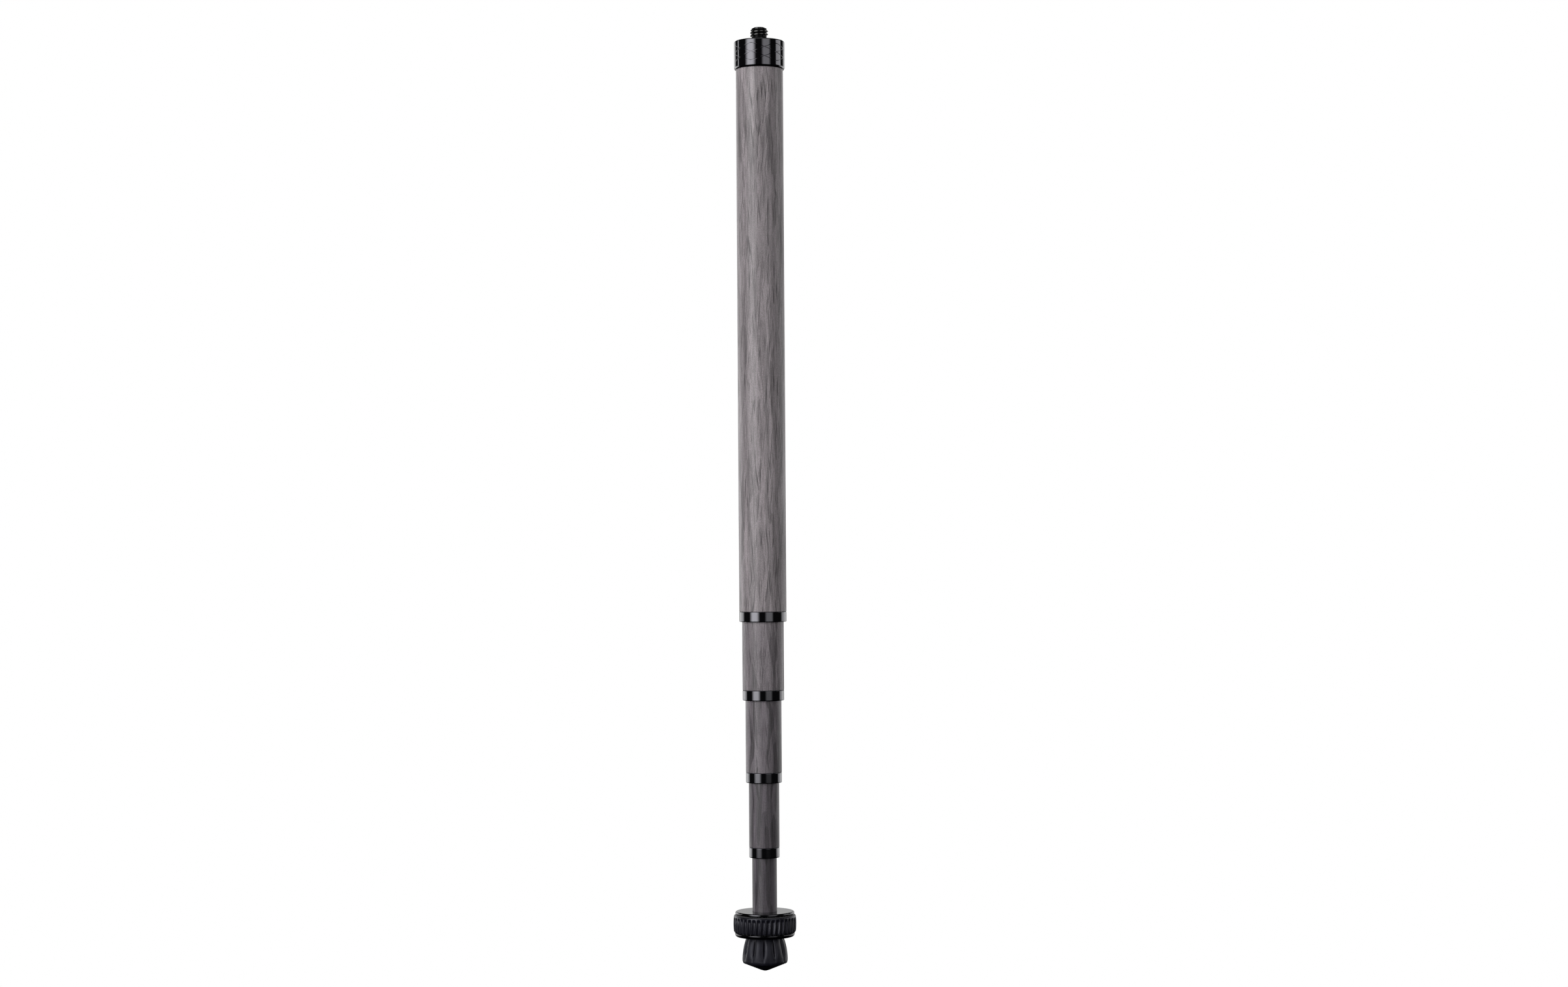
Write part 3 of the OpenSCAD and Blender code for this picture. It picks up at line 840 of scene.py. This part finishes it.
class MakeFootScrew(bpy.types.Operator):
    """Make the screw that the foot turns on."""

    bl_idname = "monopod.make_foot_screw"
    bl_label = "Foot Screw"

    def execute(self, context):
        plate, bottom, top = reach("foot_stud")
        seat = reach("foot_rubber")[2]
        crest, pitch = 4 * MM, sizes().foot_pitch
        root = crest - THREAD_DEPTH * pitch
        bevel, chamfer = 0.2 * MM, 1 * MM

        def nose(depth):
            return crest - chamfer + depth

        def outline(angle):
            return [
                (0, bottom), (plate - bevel, bottom), (plate, bottom + bevel),
                (plate, seat - bevel), (plate - bevel, seat), (crest, seat),
                *screw_thread(angle, crest, root, pitch, seat, top, nose), (0, top),
            ]

        piece = turn("foot_screw_threaded", outline, columns=80)
        fit(piece, "foot_stud", finish("zinc_plated_steel"))
        return {"FINISHED"}


class FinishInnerParts(bpy.types.Operator):
    """Give the parts inside the joints their materials."""

    bl_idname = "monopod.finish_inner_parts"
    bl_label = "Inner Parts"

    def execute(self, context):
        finishes = {
            "lock_plug": "turned_aluminium", "wedge": "turned_aluminium",
            "spindle": "zinc_plated_steel", "lock_nut": "zinc_plated_steel",
            "expander": "moulded_acetal", "guide_bush": "moulded_acetal",
            "foot_washer": "black_acetal", "bumper": "moulded_rubber",
        }
        for node, part in frame["nodes"].items():
            kind = node.rstrip("_0123456789")
            if kind in finishes:
                part.data.materials.clear()
                part.data.materials.append(finish(finishes[kind]))
        return {"FINISHED"}


# Each softbox with its azimuth from the front and its width in degrees, its radiance, its lowest
# and highest point in metres, the shares of its sides and its lower edge that fade, and its tilt
SOFTBOXES = (
    ("key", -41, 62, 6.3, (-0.95, 2.3), 0.75, 0.18, 0),
    ("front_right", 31.5, 50, 2.1, (-0.8, 1.2), 0.6, 0.3, 0),
    ("side_right", 97, 36, 2.6, (0.05, 1.2), 0.25, 0.05, 0),
    ("strip_left", -110, 9, 2.3, (0.05, 1.2), 0.3, 0.05, 0),
    ("rim_left", -128, 62, 2.0, (-0.85, 0.05), 0.5, 0.1, 0),
    ("rim_right", 127, 66, 1.4, (-0.85, 0.05), 0.4, 0.1, 0),
    ("edge_left", -150, 42, 1.2, (0.05, 1.2), 0.6, 0.05, 0),
    ("edge_right", 150, 42, 1.0, (0.05, 1.2), 0.6, 0.05, 0),
    ("overhead", 0, 90, 0.7, (-0.8, 0.8), 0.4, 0.2, 90),
)


class MakeStage(bpy.types.Operator):
    """Make the floor, the lights, the white surroundings and the camera."""

    bl_idname = "monopod.make_stage"
    bl_label = "Studio"

    def execute(self, context):
        scene = context.scene
        scene.view_settings.view_transform = "Standard"
        self.make_floor()
        self.make_surroundings(scene)
        for softbox in SOFTBOXES:
            self.make_softbox(*softbox)
        self.make_camera(scene)
        return {"FINISHED"}

    def make_softbox(self, name, azimuth, width, radiance, heights, side, foot, tilt):
        """A rectangular softbox 3 m from the object and turned to its axis. side and foot are
        the shares of its half width and of its height over which it dims towards its sides and
        its lower edge, which gives reflections their soft ends."""
        low, high = heights
        distance = 3.0
        lamp = bpy.data.lights.new(name, "AREA")
        lamp.shape = "RECTANGLE"
        lamp.size = 2 * distance * sin(radians(width / 2))
        lamp.size_y = high - low
        lamp.energy = radiance * pi * lamp.size * lamp.size_y
        lamp.use_nodes = True
        tree = lamp.node_tree
        tree.nodes.clear()
        spot = add(tree, "ShaderNodeNewGeometry").outputs["Parametric"]
        across, up, _ = add(tree, "ShaderNodeSeparateXYZ", {0: spot}).outputs
        off = add(tree, "ShaderNodeMath", {0: across, 1: -0.5}, operation="ADD").outputs[0]
        off = add(tree, "ShaderNodeMath", {0: off}, operation="ABSOLUTE").outputs[0]
        sides = add(tree, "ShaderNodeMapRange", {
            "Value": off, "From Min": 0.5 - side / 2, "From Max": 0.5,
            "To Min": 1, "To Max": 0}, interpolation_type="SMOOTHSTEP").outputs[0]
        lower = add(tree, "ShaderNodeMapRange", {
            "Value": up, "From Min": 0, "From Max": foot, "To Min": 0, "To Max": 1,
        }, interpolation_type="SMOOTHSTEP").outputs[0]
        strength = add(tree, "ShaderNodeMath", {0: sides, 1: lower}, operation="MULTIPLY")
        glow = add(tree, "ShaderNodeEmission", {"Strength": strength.outputs[0]})
        add(tree, "ShaderNodeOutputLight", {"Surface": glow.outputs[0]})
        box = bpy.data.objects.new(name, lamp)
        a, t = radians(azimuth), radians(tilt)
        box.location = (distance * sin(a) * cos(t), -distance * cos(a) * cos(t),
                        (low + high) / 2 + distance * sin(t))
        box.rotation_euler = (pi / 2 - t, 0, a)
        box.visible_camera = False
        bpy.context.scene.collection.objects.link(box)

    def make_floor(self):
        """A pale disc where the tip stands with every tube drawn out, so that it hides no tube
        at any pose. It shows white with the object's faint shadow, which fades out further off,
        and from below it isn't seen. It throws no light back, so the foot's underside stays
        black."""
        radius, fade_from, fade_to, glow_share, strength = 3.5, 0.5, 1.5, 0.8, 1.2
        travel = sum(joint["range_m"][1] for joint in frame["joints"]
                     if joint["type"] == "slide" and joint["axis"][2] < 0)
        shape = bmesh.new()
        bmesh.ops.create_circle(shape, cap_ends=True, radius=radius, segments=96)
        mesh = bpy.data.meshes.new("studio_floor")
        shape.to_mesh(mesh)
        shape.free()
        floor = bpy.data.objects.new("studio_floor", mesh)
        bpy.context.scene.collection.objects.link(floor)
        floor.location.z = CAD_BOX[0].z - travel
        floor.visible_glossy = floor.visible_diffuse = floor.visible_shadow = False
        made, tree, place = new_material("studio_floor")
        paint = add(tree, "ShaderNodeBsdfDiffuse", {"Color": (*colours().floor, 1)}).outputs[0]
        glow = add(tree, "ShaderNodeEmission", {"Strength": strength}).outputs[0]
        rays = add(tree, "ShaderNodeLightPath").outputs
        away = add(tree, "ShaderNodeVectorMath", {0: place}, operation="LENGTH").outputs["Value"]
        share = add(tree, "ShaderNodeMapRange", {
            "Value": away, "From Min": fade_from, "From Max": fade_to,
            "To Min": glow_share, "To Max": 1.0,
        }).outputs[0]
        share = add(tree, "ShaderNodeMath", {0: rays["Is Camera Ray"], 1: share},
                    operation="MULTIPLY").outputs[0]
        lit = add(tree, "ShaderNodeMixShader", {0: share, 1: paint, 2: glow}).outputs[0]
        clear = add(tree, "ShaderNodeBsdfTransparent").outputs[0]
        under = add(tree, "ShaderNodeNewGeometry").outputs["Backfacing"]
        both = add(tree, "ShaderNodeMixShader", {0: under, 1: lit, 2: clear}).outputs[0]
        add(tree, "ShaderNodeOutputMaterial", {"Surface": both})
        mesh.materials.append(made)

    def make_surroundings(self, scene):
        """White to the camera and through glass. Polished metal shows the white backdrop where it
        stands, which is behind the object and further round low down, so that it keeps its dark
        gaps. Backdrop and room add a little light."""
        backdrop_light, room_light, mirror_share = 0.5, 0.03, 0.65
        draw_in, edge_from, edge_to = 2.2, 0.25, 0.6
        dark_below, lit_above = -0.4, -0.15
        world = bpy.data.worlds.new("studio")
        world.use_nodes = True
        scene.world = world
        tree = world.node_tree
        tree.nodes.clear()
        rays = add(tree, "ShaderNodeLightPath").outputs
        direction = add(tree, "ShaderNodeTexCoord").outputs["Generated"]
        way = add(tree, "ShaderNodeSeparateXYZ", {0: direction}).outputs
        # Below the horizon the backdrop's edge stays where it is. Above, it draws in with height
        lift = add(tree, "ShaderNodeMath", {0: way["Z"], 1: -0.02}, operation="MAXIMUM").outputs[0]
        edge = add(tree, "ShaderNodeMath", {0: lift, 1: -draw_in, 2: way["Y"]},
                   operation="MULTIPLY_ADD").outputs[0]
        above = add(tree, "ShaderNodeMapRange", {
            "Value": way["Z"], "From Min": dark_below, "From Max": lit_above,
            "To Min": 0, "To Max": 1,
        }, interpolation_type="SMOOTHSTEP").outputs[0]
        backdrop = add(tree, "ShaderNodeMapRange", {
            "Value": edge, "From Min": edge_from, "From Max": edge_to,
            "To Min": 0, "To Max": above,
        }, interpolation_type="SMOOTHSTEP").outputs[0]
        fill = add(tree, "ShaderNodeMath", {0: backdrop, 1: backdrop_light, 2: room_light},
                   operation="MULTIPLY_ADD").outputs[0]
        fill = add(tree, "ShaderNodeMath", {0: fill, 1: above}, operation="MULTIPLY").outputs[0]
        mirrored = add(tree, "ShaderNodeMath", {
            0: backdrop, 1: mirror_share}, operation="MULTIPLY")
        mirrored = add(tree, "ShaderNodeMath", {
            0: rays["Is Glossy Ray"], 1: mirrored.outputs[0]}, operation="MULTIPLY").outputs[0]
        seen = add(tree, "ShaderNodeMath", {
            0: rays["Is Camera Ray"], 1: rays["Is Transmission Ray"]}, operation="MAXIMUM")
        seen = add(tree, "ShaderNodeMath", {
            0: seen.outputs[0], 1: mirrored}, operation="MAXIMUM").outputs[0]
        strength = add(tree, "ShaderNodeMath", {0: seen, 1: fill}, operation="MAXIMUM").outputs[0]
        sky = add(tree, "ShaderNodeBackground", {"Color": (1, 1, 1, 1), "Strength": strength})
        add(tree, "ShaderNodeOutputWorld", {"Surface": sky.outputs[0]})

    def make_camera(self, scene):
        """The photograph's view, for a frame of 2408 by 1515 pixels. Place, turn and lens were
        fitted to where the stud, the collars and the foot lie in it."""
        lens = bpy.data.cameras.new("camera")
        lens.sensor_width = 36
        lens.lens = 63.8
        camera = bpy.data.objects.new("camera", lens)
        camera.location = (0.01143, -1.472, -0.2648)
        camera.rotation_euler = (radians(90.97), radians(0.38), 0)
        scene.collection.objects.link(camera)
        scene.camera = camera


class MonopodPanel(bpy.types.Panel):
    """Lists the pieces, and the sizes and colours that they are made with."""

    bl_idname = "VIEW3D_PT_monopod"
    bl_label = "Monopod"
    bl_space_type = "VIEW_3D"
    bl_region_type = "UI"
    bl_category = "Monopod"

    def draw(self, context):
        for group in (sizes(), colours()):
            box = self.layout.box()
            for key in group.__annotations__:
                box.prop(group, key)
        for operator in STEPS:
            self.layout.operator(operator.bl_idname)


STEPS = (MakeStage, MakeStud, MakeCap, MakeTubes, MakeCollars, MakeSpool, MakeGripBand,
         MakeFoot, MakeFootScrew, FinishInnerParts)
CLASSES = (MonopodSizes, MonopodColours, *STEPS, MonopodPanel)


def register():
    for item in CLASSES:
        bpy.utils.register_class(item)
    bpy.types.Scene.monopod_sizes = PointerProperty(type=MonopodSizes)
    bpy.types.Scene.monopod_colours = PointerProperty(type=MonopodColours)


def unregister():
    del bpy.types.Scene.monopod_colours
    del bpy.types.Scene.monopod_sizes
    for item in reversed(CLASSES):
        bpy.utils.unregister_class(item)


def main():
    register()
    for operator in STEPS:
        group, name = operator.bl_idname.split(".")
        getattr(getattr(bpy.ops, group), name)()


if __name__ == "__main__":
    main()
